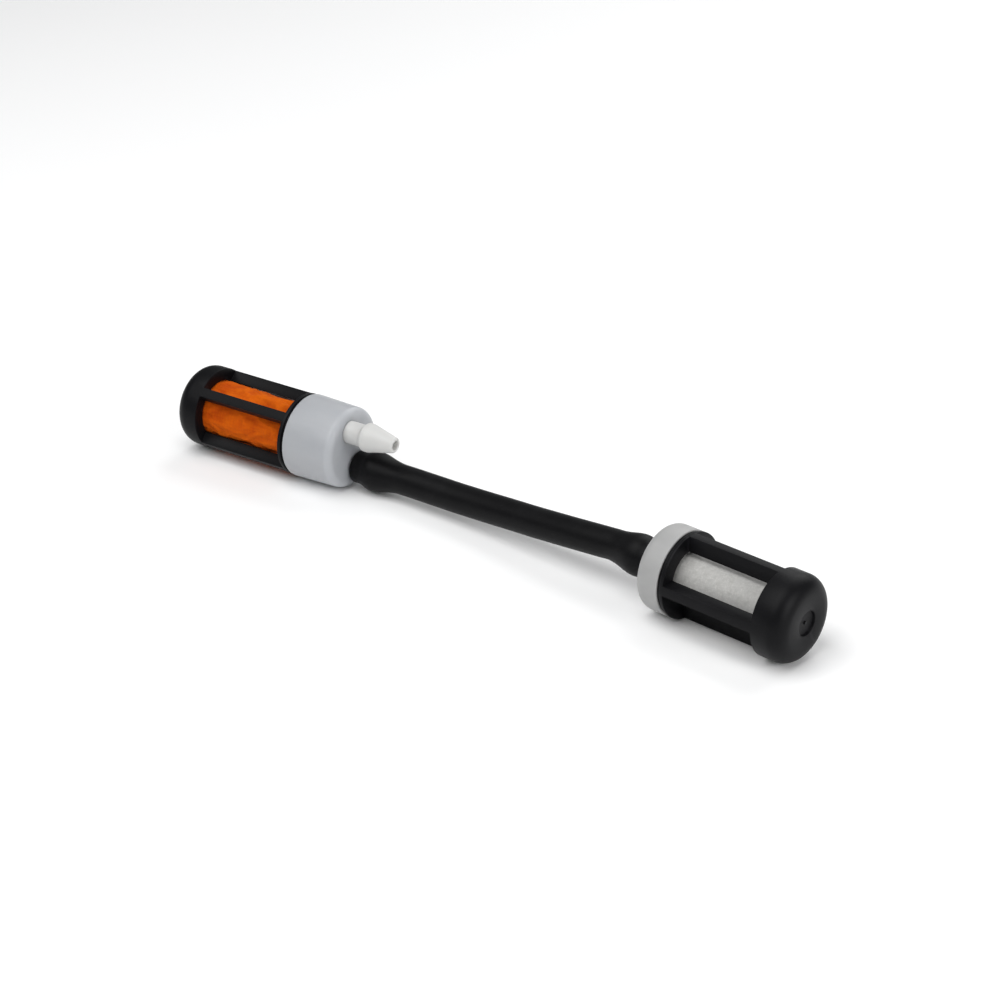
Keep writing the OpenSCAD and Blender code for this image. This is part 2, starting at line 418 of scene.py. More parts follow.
@dataclass(frozen=True)
class BagCloth(Finish):
    """Fine woven filter cloth in orange, with painted shade in its folds and between its threads."""

    # colour of the painted shade in the cloth's folds and between its threads
    fold_and_thread_shade: Colour = (0.36, 0.040, 0.002, 1)
    bright: Colour = (0.70, 0.150, 0.004, 1)
    threads: float = 2900.0

    def make(self) -> bpy.types.Material:
        """Returns the woven cloth."""
        b = Board(self.name)
        uv = b.out(b.node("UVMap", {"uv_map": "weave"}))
        around = self._threads(b, uv, "X")
        along = self._threads(b, uv, "Y")
        weave = around * along
        cloud = b.grain(230, 4, 0.6)
        soft = b.grain(75, 2, 0.5)
        fold = b.out(b.node("Attribute", {"attribute_name": "fold"}), "Fac")
        # painted shade: the cloth is mixed toward the darker colour where it lies deep in a fold and in the
        # gaps between threads
        low = b.mixed((fold * 0.8 + (1 - weave) * 0.22).clamped(), self.colour, self.fold_and_thread_shade)
        light = (b.stepped(cloud, 0.42, 0.72) * 0.30 + b.stepped(soft, 0.45, 0.75) * 0.22).clamped()
        colour = b.mixed(light, low, self.bright)
        rough = 0.74 + (weave - 0.5) * 0.14 + (cloud - 0.5) * 0.12
        normal = b.bumped(weave, 0.45, 0.00005, b.bumped(cloud, 0.55, 0.0006))
        constants = {
            "Sheen Weight": 0.08,
            "Sheen Roughness": 0.45,
            "Sheen Tint": (1.0, 0.42, 0.12, 1),
            "IOR": 1.45,
            "Specular IOR Level": 0.05,
        }
        return b.finish(constants, colour, rough, normal)

    def _threads(self, b: Board, uv: Sock, side: str) -> Sock:
        """Returns one set of rounded threads, 0 between two and 1 on top."""
        split = b.node("SeparateXYZ", {}, {0: uv})
        turn = b.out(split, side) * self.threads
        return b.math("ABSOLUTE", b.math("SINE", turn)) ** 0.5


@dataclass(frozen=True)
class PressedFelt(Finish):
    """White pressed felt: short tangled fibres, a little grey where it is dense."""

    dense: Colour = (0.34, 0.335, 0.315, 1)
    tuft: Colour = (0.64, 0.63, 0.60, 1)

    def make(self) -> bpy.types.Material:
        """Returns the felt."""
        b = Board(self.name)
        warp = b.grain(650, 3, 0.6)
        fibres = b.grain(2400, 5, 0.75, b.mapped((0.28, 1, 1), (0.2, 0.5, 0.3)))
        crossed = b.grain(2400, 5, 0.75, b.mapped((1, 0.3, 0.3), (0.4, 0.1, 0.9)))
        tangle = fibres * 0.5 + crossed * 0.5
        dense = b.mixed(b.stepped(warp, 0.40, 0.75) * 0.55, self.colour, self.dense)
        colour = b.mixed(b.stepped(tangle, 0.46, 0.66) * 0.55, dense, self.tuft)
        rough = 0.88 + (tangle - 0.5) * 0.14
        normal = b.bumped(tangle, 0.7, 0.00022, b.bumped(warp, 0.35, 0.0004))
        constants = {"Sheen Weight": 0.5, "Sheen Roughness": 0.6, "IOR": 1.4}
        return b.finish(constants, colour, rough, normal)


@dataclass(frozen=True)
class FloorPaint(Finish):
    """Plain pale studio floor with the faintest mottling."""

    def make(self) -> bpy.types.Material:
        """Returns the floor's material."""
        b = Board(self.name)
        cloud = b.grain(6, 3, 0.5)
        colour = b.mixed(cloud * 0.3, self.colour, tuple(0.985 * c for c in self.colour[:3]) + (1,))
        rough = 0.62 + cloud * 0.08
        normal = b.bumped(b.grain(900, 2, 0.5), 0.02, 0.00005)
        return b.finish({"IOR": 1.4, "Specular IOR Level": 0.2}, colour, rough, normal)


class Dressing(Enum):
    """The finishes by the record's material slot."""

    CAGE = "cage_black"
    BAG = "bag_orange"
    CORE = "core_white"
    CAP = "cap_white"
    RING = "ring_white"
    NIPPLE = "nipple_white"
    HOSE = "hose_rubber"
    SEAL = "seal_rubber"
    FELT = "felt_white"


FINISHES: Dict[Dressing, Finish] = {
    Dressing.CAGE: CagePlastic("cage_plastic", (0.0034, 0.0034, 0.0042, 1)),
    Dressing.BAG: BagCloth("orange_filter_cloth", (0.54, 0.088, 0.003, 1)),
    Dressing.CORE: NaturalPlastic(
        "core_plastic", (0.70, 0.70, 0.68, 1), shade=(0.60, 0.60, 0.58, 1), rough=0.45, glow=0.1
    ),
    Dressing.CAP: NaturalPlastic(
        "cap_plastic", (0.400, 0.412, 0.432, 1), shade=(0.350, 0.362, 0.385, 1), rough=0.36, glow=0.8,
        depth=(1.0, 0.98, 0.95), reach=0.006,
    ),
    Dressing.RING: NaturalPlastic(
        "ring_plastic", (0.355, 0.355, 0.352, 1), shade=(0.310, 0.311, 0.311, 1), rough=0.42, glow=0.35
    ),
    Dressing.NIPPLE: NaturalPlastic(
        "nipple_plastic", (0.56, 0.56, 0.55, 1), shade=(0.51, 0.51, 0.50, 1), rough=0.36, glow=0.5
    ),
    Dressing.HOSE: HoseRubber("hose_rubber", (0.0030, 0.0030, 0.0035, 1)),
    Dressing.SEAL: HoseRubber("seal_rubber", (0.012, 0.012, 0.013, 1)),
    Dressing.FELT: PressedFelt("white_felt", (0.44, 0.435, 0.42, 1)),
}


class Wardrobe:
    """Makes each finish once and hands it out."""

    def __init__(self) -> None:
        """Starts with nothing made."""
        self._made: Dict[Dressing, bpy.types.Material] = {}

    def get(self, dressing: Dressing) -> bpy.types.Material:
        """Returns the material of a dressing, made on first use."""
        if dressing not in self._made:
            self._made[dressing] = FINISHES[dressing].make()
        return self._made[dressing]


# ---------------------------------------------------------------- places and shapes


@dataclass(frozen=True)
class Place:
    """A local frame in millimetres, +Z along a unit's axis, set in the row frame."""

    matrix: Matrix

    @classmethod
    def along(cls, origin: Vector, direction: Vector) -> "Place":
        """Makes a frame like the CAD's: +Z along the direction, +X straight down.

        Args:
            origin: the frame's origin in metres.
            direction: the axis, level.

        Returns:
            The frame.
        """
        z = direction.normalized()
        x = Vector((0, 0, -1))
        y = z.cross(x)
        turn = Matrix((x, y, z)).transposed().to_4x4()
        return cls(Matrix.Translation(origin) @ turn @ Matrix.Scale(MM, 4))

    def moved(self, along: float) -> "Place":
        """Returns the frame moved along its own +Z, in millimetres."""
        return Place(self.matrix @ Matrix.Translation((0, 0, along)))

    def shifted(self, x: float, y: float) -> "Place":
        """Returns the frame moved across its axis, in millimetres."""
        return Place(self.matrix @ Matrix.Translation((x, y, 0)))

    def turned_back(self) -> "Place":
        """Returns the frame turned half round about its own X, so +Z points back."""
        return Place(self.matrix @ Matrix.Rotation(math.pi, 4, "X"))

    def rolled(self, degrees: float) -> "Place":
        """Returns the frame rolled about its own +Z."""
        return Place(self.matrix @ Matrix.Rotation(math.radians(degrees), 4, "Z"))


def arc(cx: float, cz: float, radius: float, start: float, end: float, steps: int) -> List[Point2]:
    """Returns points on an arc in a profile's plane.

    Args:
        cx: the centre's distance from the axis.
        cz: the centre's height.
        radius: the arc's radius.
        start: the first angle in degrees.
        end: the last angle in degrees.
        steps: the number of segments.

    Returns:
        The points, ends included.
    """
    angles = [math.radians(start + (end - start) * i / steps) for i in range(steps + 1)]
    return [(cx + radius * math.cos(a), cz + radius * math.sin(a)) for a in angles]


def evened(points: Sequence[Point2], longest: float) -> List[Point2]:
    """Returns a profile with extra points, so that no segment is longer than a limit."""
    result = [points[0]]
    for a, b in zip(points, points[1:]):
        count = max(1, math.ceil(math.dist(a, b) / longest))
        shares = [i / count for i in range(1, count + 1)]
        result += [(a[0] + (b[0] - a[0]) * share, a[1] + (b[1] - a[1]) * share) for share in shares]
    return result


def turned(profile: Sequence[Point2], steps: int, closed: bool) -> bmesh.types.BMesh:
    """Spins a profile round the Z axis.

    Args:
        profile: points as (distance from the axis, height).
        steps: segments in the full turn.
        closed: whether the profile's last point joins its first.

    Returns:
        The turned shape, normals outward.
    """
    bm = bmesh.new()
    verts = [bm.verts.new((r, 0, z)) for r, z in profile]
    pairs = list(zip(verts, verts[1:])) + ([(verts[-1], verts[0])] if closed else [])
    edges = [bm.edges.new(pair) for pair in pairs]
    bmesh.ops.spin(
        bm, geom=verts + edges, cent=(0, 0, 0), axis=(0, 0, 1), dvec=(0, 0, 0),
        angle=math.tau, steps=steps, use_merge=True, use_duplicate=False,
    )
    bmesh.ops.remove_doubles(bm, verts=bm.verts[:], dist=1e-4)
    bmesh.ops.recalc_face_normals(bm, faces=bm.faces[:])
    return bm


def stand(bm: bmesh.types.BMesh, name: str, place: Place, sharp: float = 38.0) -> bpy.types.Object:
    """Turns a shape in millimetres into an object in the row frame.

    Args:
        bm: the shape, freed here.
        name: the object's name.
        place: where the shape stands.
        sharp: the angle in degrees past which an edge stays sharp.

    Returns:
        The object, at the origin and unscaled.
    """
    bmesh.ops.transform(bm, matrix=place.matrix, verts=bm.verts[:])
    mesh = bpy.data.meshes.new(name)
    bm.to_mesh(mesh)
    bm.free()
    mesh.shade_smooth()
    mesh.set_sharp_from_angle(angle=math.radians(sharp))
    piece = bpy.data.objects.new(name, mesh)
    bpy.context.scene.collection.objects.link(piece)
    return piece


@dataclass
class Workshop:
    """Hands pieces to the frame and keeps the list for the log."""

    wardrobe: Wardrobe
    pieces: List[str] = field(default_factory=list)

    def dress(self, piece: bpy.types.Object, dressing: Dressing, node: str) -> None:
        """Gives a piece its finish and says which node it stands for.

        Args:
            piece: the object.
            dressing: its finish.
            node: the CAD node that it replaces.
        """
        piece.data.materials.clear()
        piece.data.materials.append(self.wardrobe.get(dressing))
        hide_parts(node)
        self.pieces.append(piece.name)
        LOG.info("%s: %d faces, stands for %s", piece.name, len(piece.data.polygons), node)

    def fit(self, piece: bpy.types.Object, dressing: Dressing, node: str, body: str) -> None:
        """Dresses a piece and lets it ride on a body."""
        self.dress(piece, dressing, node)
        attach(piece, body)


# ---------------------------------------------------------------- sub-assemblies


@dataclass
class Cage:
    """A moulded cage: collar, ribs, rounded nose and the skirt that seats in the cap."""

    name: str
    body: str
    place: Place
    roll: float
    radius: float = 12.5
    bore: float = 8.9
    length: float = 42.1
    collar: float = 2.0
    band: float = 0.9
    band_radius: float = 12.0
    nose: float = 8.7
    nose_round: float = 4.8
    rib_count: int = 4
    columns: int = 108
    rib_columns: int = 4
    rib_width: float = 2.9
    skirt_length: float = 5.0
    skirt_radius: float = 10.9
    skirt_bore: float = 9.4
    edge: float = 0.3
    corner_round: float = 0.38
    nose_wall: float = 2.9
    inner_round: float = 2.2
    dimple: float = 3.6
    dimple_depth: float = 0.75
    dimple_round: float = 0.15
    dimple_slope: float = 0.1
    gate: float = 0.5
    gate_slope: float = 0.05
    gate_depth: float = 0.4
    near: float = 0.05

    def build(self, shop: Workshop) -> None:
        """Builds and dresses the cage."""
        bm = turned(self._profile(), self.columns, closed=True)
        self._open_windows(bm)
        piece = stand(bm, self.name + "_moulding", self.place.rolled(self.roll))
        shop.fit(piece, Dressing.CAGE, self.name, self.body)

    @property
    def window_end(self) -> float:
        """Where the windows end and the nose begins."""
        return self.length - self.nose

    def _profile(self) -> List[Point2]:
        """Returns the wall's closed section, out along the skin and back inside."""
        r, e, end, tip = self.radius, self.edge, self.window_end, self.length
        floor, fillet = tip - self.nose_wall, self.inner_round
        d, g = self.dimple_round, self.gate_slope
        bottom = tip - self.dimple_depth
        return (
            [(self.skirt_bore, -self.skirt_length), (self.skirt_radius - e, -self.skirt_length)]
            + [(self.skirt_radius, e - self.skirt_length), (self.skirt_radius, 0.0)]
            + [(self.band_radius, 0.0), (self.band_radius, self.band)]
            + arc(r - e, self.band + e, e, -90, 0, 3)
            + [(r, self.collar), (r, end)]
            + arc(r - self.nose_round, tip - self.nose_round, self.nose_round, 0, 90, 18)
            + arc(self.dimple + d, tip - d, d, 90, 180, 2)
            + arc(self.dimple - self.dimple_slope - d, bottom + d, d, 0, -90, 2)
            + [(self.gate + g, bottom), (self.gate - g, tip - self.gate_depth - g)]
            + [(0.0, tip - self.gate_depth), (0.0, floor)]
            + arc(self.bore - fillet, floor - fillet, fillet, 90, 0, 8)
            + [(self.bore, end), (self.bore, self.collar), (self.bore, 0.0), (self.skirt_bore, 0.0)]
        )

    def _slot_of(self, point: Vector) -> Optional[int]:
        """Returns which window a point lies in, or None where it lies on a rib."""
        pitch = 360 / self.rib_count
        angle = math.degrees(math.atan2(point.y, point.x)) % 360
        inside = angle % pitch
        if inside < self._half_rib or inside > pitch - self._half_rib:
            return None
        return int(angle // pitch)

    def _open_windows(self, bm: bmesh.types.BMesh) -> None:
        """Cuts the windows through the wall and rounds their edges.

        Args:
            bm: the solid of revolution.
        """
        skins: Dict[Tuple[int, bool], List[bmesh.types.BMFace]] = {}
        for face in bm.faces:
            middle = face.calc_center_median()
            slot = self._slot_of(middle)
            reach = math.hypot(middle.x, middle.y)
            if slot is None or not self.collar < middle.z < self.window_end:
                continue
            outside = reach > self.radius - 2 * self.near
            if outside or abs(reach - self.bore) < 2 * self.near:
                skins.setdefault((slot, outside), []).append(face)
        rims = {key: self._rim(faces) for key, faces in skins.items()}
        bmesh.ops.delete(bm, geom=[f for faces in skins.values() for f in faces], context="FACES")
        for slot in range(self.rib_count):
            bmesh.ops.bridge_loops(bm, edges=rims[slot, True] + rims[slot, False])
        self._square_ribs(bm)
        self._round_windows(bm, rims)
        bmesh.ops.recalc_face_normals(bm, faces=bm.faces[:])

    @staticmethod
    def _rim(faces: Sequence[bmesh.types.BMFace]) -> List[bmesh.types.BMEdge]:
        """Returns the outline edges of a patch of faces."""
        patch = set(faces)
        edges = {e for f in faces for e in f.edges}
        outline = (e for e in edges if sum(f in patch for f in e.link_faces) == 1)
        return sorted(outline, key=lambda e: e.index)

    def _square_ribs(self, bm: bmesh.types.BMesh) -> None:
        """Moves the ribs' inner edges apart, so that a rib is as wide inside as outside."""
        wanted = math.degrees(math.asin(self.rib_width / 2 / self.bore))
        for vert in bm.verts:
            if abs(math.hypot(vert.co.x, vert.co.y) - self.bore) > self.near:
                continue
            if not self.collar - self.near <= vert.co.z <= self.window_end + self.near:
                continue
            if self._at_corner(vert):
                turn = math.copysign(wanted - self._half_rib, self._from_rib(vert))
                vert.co.rotate(Matrix.Rotation(math.radians(turn), 3, "Z"))

    def _round_windows(
        self, bm: bmesh.types.BMesh, rims: Dict[Tuple[int, bool], List[bmesh.types.BMEdge]]
    ) -> None:
        """Rounds the windows' rims and their four corners.

        Args:
            bm: the cage.
            rims: the rim edges of each window, outside and inside.
        """
        rounded = {e for edges in rims.values() for e in edges if e.is_valid}
        for slot in range(self.rib_count):
            outside = {v for e in rims[slot, True] for v in e.verts}
            inside = {v for e in rims[slot, False] for v in e.verts}
            for vert in outside:
                for edge in vert.link_edges:
                    other = edge.other_vert(vert)
                    if other in inside and self._at_corner(vert):
                        rounded.add(edge)
        bmesh.ops.bevel(
            bm, geom=sorted(rounded, key=lambda e: e.index), offset=self.corner_round, offset_type="OFFSET",
            segments=3, profile=0.5, affect="EDGES", clamp_overlap=True, material=-1,
        )

    def _at_corner(self, vert: bmesh.types.BMVert) -> bool:
        """Returns whether a rim point is one of a window's corners."""
        return abs(abs(self._from_rib(vert)) - self._half_rib) < self.near

    @property
    def _half_rib(self) -> float:
        """Half a rib's width as an angle on the skin, in degrees."""
        return 180 * self.rib_columns / self.columns

    def _from_rib(self, vert: bmesh.types.BMVert) -> float:
        """Returns a point's angle from the nearest rib's middle, in degrees."""
        pitch = 360 / self.rib_count
        return (math.degrees(math.atan2(vert.co.y, vert.co.x)) + pitch / 2) % pitch - pitch / 2


@dataclass
class Cap:
    """A white cap: a cup with a rounded end edge and holes for its nipples."""

    name: str
    body: str
    place: Place
    dressing: Dressing
    radius: float
    length: float
    holes: Sequence[Point2]
    wall: float = 2.0
    end_round: float = 2.4
    taper: float = 0.35
    socket: float = 11.0
    socket_depth: float = 5.4
    chamber: float = 10.6
    hole_radius: float = 3.43
    edge: float = 0.35
    sharp: float = 30.0
    columns: int = 144
    drill_columns: int = 48

    def build(self, shop: Workshop) -> None:
        """Builds and dresses the cap."""
        bm = turned(self._profile(), self.columns, closed=True)
        piece = stand(bm, self.name + "_moulding", self.place, self.sharp)
        for number, (x, y) in enumerate(self.holes):
            self._drill(piece, number, x, y)
        shop.fit(piece, self.dressing, self.name, self.body)

    def _profile(self) -> List[Point2]:
        """Returns the cup's closed section."""
        r, n, e = self.radius, self.length, self.edge
        return (
            [(0.0, 0.0)]
            + arc(r - self.taper - self.end_round, -self.end_round, self.end_round, 90, 0, 14)
            + arc(r - e, e - n, e, 0, -90, 4)
            + [(self.socket, -n), (self.socket, self.socket_depth - n)]
            + [(self.chamber, self.socket_depth - n), (self.chamber, -self.wall), (0.0, -self.wall)]
        )

    def _drill(self, piece: bpy.types.Object, number: int, x: float, y: float) -> None:
        """Cuts one nipple hole through the end wall.

        Args:
            piece: the cap.
            number: the hole's number.
            x: the hole's place across the axis.
            y: the hole's place across the axis.
        """
        low, high, r = -self.wall - 1, 1, self.hole_radius
        drill = turned([(0, low), (r, low), (r, high), (0, high)], self.drill_columns, closed=False)
        tool = stand(drill, f"drill_{number}", self.place.shifted(x, y))
        cut = piece.modifiers.new("hole", "BOOLEAN")
        cut.object, cut.operation, cut.solver = tool, "DIFFERENCE", "EXACT"
        bpy.context.view_layer.update()
        shaped = piece.evaluated_get(bpy.context.evaluated_depsgraph_get())
        mesh = bpy.data.meshes.new_from_object(shaped)
        piece.modifiers.clear()
        old, piece.data = piece.data, mesh
        bpy.data.meshes.remove(old)
        bpy.data.objects.remove(tool)
        mesh.set_sharp_from_angle(angle=math.radians(self.sharp))


@dataclass
class Nipple:
    """A barbed nipple with its seating flange and through bore."""

    name: str
    body: str
    place: Place
    neck: float = 3.4
    barb: float = 4.35
    tip: float = 2.4
    bore: float = 1.4
    neck_length: float = 5.4
    land: float = 1.0
    length: float = 16.6
    wall: float = 2.0
    flange: float = 4.1
    flange_depth: float = 1.2
    slope: float = 1.2
    neck_round: float = 0.3
    barb_round: float = 0.6
    land_round: float = 0.8
    tip_round: float = 0.6
    mouth_round: float = 0.15
    columns: int = 72
    sharp: float = 50.0

    def build(self, shop: Workshop) -> None:
        """Builds and dresses the nipple."""
        bm = turned(self._profile(), self.columns, closed=True)
        piece = stand(bm, self.name + "_turned", self.place, self.sharp)
        shop.fit(piece, Dressing.NIPPLE, self.name, self.body)

    def _profile(self) -> List[Point2]:
        """Returns the nipple's closed section."""
        shoulder, seat = self.neck_length + self.slope, -self.wall - self.flange_depth
        n, t, m = self.neck_round, self.tip_round, self.mouth_round
        return (
            [(self.bore, seat), (self.flange, seat), (self.flange, -self.wall)]
            + [(self.neck, -self.wall), (self.neck, 0.0), (self.neck, self.neck_length - n)]
            + arc(self.neck + n, self.neck_length - n, n, 180, 100, 3)
            + arc(self.barb - self.barb_round, shoulder, self.barb_round, -62, 0, 6)
            + arc(self.barb - self.land_round, shoulder + self.land, self.land_round, 0, 12, 2)
            + arc(self.tip - t, self.length - t, t, 12, 90, 6)
            + arc(self.bore + m, self.length - m, m, 90, 180, 2)
        )


@dataclass(frozen=True)
class Fold:
    """One size of fold in crumpled cloth: how fine, how sharp, its share, and its noise's shift."""

    scale: float
    sharpness: float
    share: float
    shift: Point3

    def height(self, at: Vector) -> float:
        """Returns how high the fold stands at a point, 1 on its ridge."""
        ridge = 1 - abs(noise.noise(at * self.scale + Vector(self.shift))) * self.sharpness
        return self.share * max(ridge, -0.2)


@dataclass
class FilterBag:
    """The orange bag: woven cloth that swells a little between the ribs and is crumpled all over."""

    name: str
    body: str
    place: Place
    rib_roll: float
    radius: float = 8.5
    mouth: float = -5.0
    end: float = 37.5
    wall: float = 0.8
    end_round: float = 3.0
    columns: int = 216
    row: float = 0.30
    seed: int = 7
    swell: float = 0.42
    crease: float = 0.80
    seam_angle: float = 150.0
    seam_width: float = 5.0
    seam_height: float = 0.22
    cloth: float = 0.35
    taut_until: float = 0.2
    loose_after: float = 3.5
    folds_across: float = 0.16
    folds_along: float = 0.105
    folds: Tuple[Fold, ...] = (Fold(1.15, 2.1, 0.60, (0, 0, 0)), Fold(2.6, 2.0, 0.30, (11, 5, 2)))
    ripple: float = 0.10
    crest: float = 0.78

    def build(self, shop: Workshop) -> None:
        """Builds and dresses the bag."""
        noise.seed_set(self.seed)
        bm = turned(self._profile(), self.columns, closed=False)
        fold = bm.verts.layers.float.new("fold")
        for vert in bm.verts:
            self._crumple(vert, fold)
        self._unwrap(bm)
        piece = stand(bm, self.name + "_cloth", self.place, SMOOTH)
        cloth = piece.modifiers.new("cloth", "SOLIDIFY")
        cloth.thickness, cloth.offset = self.cloth * MM, -1
        shop.fit(piece, Dressing.BAG, self.name, self.body)

    def _profile(self) -> List[Point2]:
        """Returns the bag's section from mouth to the closed end's centre."""
        r = self.radius
        side = [(r, self.mouth), (r, self.end - self.end_round)]
        corner = arc(r - self.end_round, self.end - self.end_round, self.end_round, 0, 90, 10)
        return evened(side + corner[1:] + [(0.0, self.end)], self.row * 1.6)

    def _crumple(self, vert: bmesh.types.BMVert, fold: Any) -> None:
        """Moves one point of the cloth in or out.

        Args:
            vert: the point.
            fold: the layer that holds how deep in a fold the point is, which the cloth's finish turns into
                painted shade.
        """
        x, y, z = vert.co
        reach = math.hypot(x, y)
        angle = math.atan2(y, x)
        free = self._free(z)
        swell = self.swell * (0.5 - 0.5 * math.cos(4 * (angle - math.radians(self.rib_roll)))) ** 0.7
        dent = self.crease * (self.crest - self._height(vert.co))
        move = free * (swell - dent) + self.seam_height * self._seam(angle) * free
        # painted shade mask: how deep in a fold the point lies, used later to darken the cloth's colour
        vert[fold] = min(1.0, max(0.0, free * dent / self.crease * 0.9))
        if reach > 1e-3:
            scale = (reach + move * min(1.0, reach / self.radius)) / reach
            vert.co = Vector((x * scale, y * scale, z + min(0.0, move) * (1 - reach / self.radius) * 0.8))

    def _height(self, at: Vector) -> float:
        """Returns how high the crumpled cloth stands at a point, about 1 on a ridge."""
        here = Vector((at.x * self.folds_across, at.y * self.folds_across, at.z * self.folds_along))
        warped = here + 0.5 * noise.noise_vector(here * 1.3 + Vector((7, 3, 1)))
        ripple = self.ripple * noise.noise(warped * 6.5 + Vector((3, 9, 4)))
        return sum(fold.height(warped) for fold in self.folds) + ripple

    def _free(self, z: float) -> float:
        """Returns 0 where the mouth or the end holds the cloth and 1 where it is free."""
        from_mouth = min(1.0, max(0.0, (z - self.taut_until) / self.loose_after))
        return from_mouth * from_mouth * (3 - 2 * from_mouth)

    def _seam(self, angle: float) -> float:
        """Returns 1 along the bag's welded seam, fading to 0 beside it."""
        gap = math.degrees(math.remainder(angle - math.radians(self.seam_angle), math.tau))
        return max(0.0, 1 - (gap / self.seam_width) ** 2)

    def _unwrap(self, bm: bmesh.types.BMesh) -> None:
        """Lays the cloth's own coordinates round and along it, in metres."""
        layer = bm.loops.layers.uv.new("weave")
        for face in bm.faces:
            middle = face.calc_center_median()
            base = math.atan2(middle.y, middle.x)
            for loop in face.loops:
                co = loop.vert.co
                turn = math.atan2(co.y, co.x)
                turn = base + math.remainder(turn - base, math.tau)
                loop[layer].uv = (turn * self.radius * MM, co.z * MM)


@dataclass
class FeltSock:
    """The white felt sock: a thick soft tube, closed at the nose."""

    name: str
    body: str
    place: Place
    radius: float = 6.4
    mouth: float = -2.75
    end: float = 36.8
    wall: float = 2.0
    end_round: float = 2.5
    columns: int = 200
    row: float = 0.35
    lumps: float = 0.10
    fuzz: float = 0.035
    sunk: float = 0.05
    skin: float = 0.4

    def build(self, shop: Workshop) -> None:
        """Builds and dresses the sock."""
        bm = turned(self._profile(), self.columns, closed=True)
        for vert in bm.verts:
            self._soften(vert)
        piece = stand(bm, self.name + "_felt", self.place, SMOOTH)
        shop.fit(piece, Dressing.FELT, self.name, self.body)

    def _profile(self) -> List[Point2]:
        """Returns the sock's closed section."""
        r, w = self.radius, self.wall
        outside = [(r, self.mouth), (r, self.end - self.end_round)]
        outside += arc(r - self.end_round, self.end - self.end_round, self.end_round, 0, 90, 8)[1:]
        outside += [(0.0, self.end)]
        inside = [(0.0, self.end - w), (r - w, self.end - w), (r - w, self.mouth)]
        return evened(outside, self.row) + inside

    def _soften(self, vert: bmesh.types.BMVert) -> None:
        """Gives one point of the outside the felt's uneven thickness."""
        x, y, z = vert.co
        reach = math.hypot(x, y)
        if reach < self.radius - self.skin or z < 0:
            return
        broad = noise.noise(Vector((x * 0.12, y * 0.12, z * 0.08)) + Vector((4, 4, 4)))
        fine = noise.noise(Vector((x, y, z)) * 0.9)
        move = self.lumps * broad + self.fuzz * fine - self.sunk
        scale = (reach + move) / reach
        vert.co = Vector((x * scale, y * scale, z))


HOSE_ROUTE: Tuple[Point3, ...] = (
    (14, 3, -12.4), (19, 2.8, -12.4), (24, 2.5, -12.3), (29, 2.1, -12.2),
    (34, 1.6, -11.9), (39, 1.1, -11.6), (44, 0.5, -11.2), (49, -0.2, -10.7),
    (54, -1, -10.2), (59, -1.8, -9.7), (64, -2.6, -9.1), (69, -3.4, -8.5),
    (74, -4.2, -7.9), (79, -4.9, -7.3), (84, -5.5, -6.8),
)


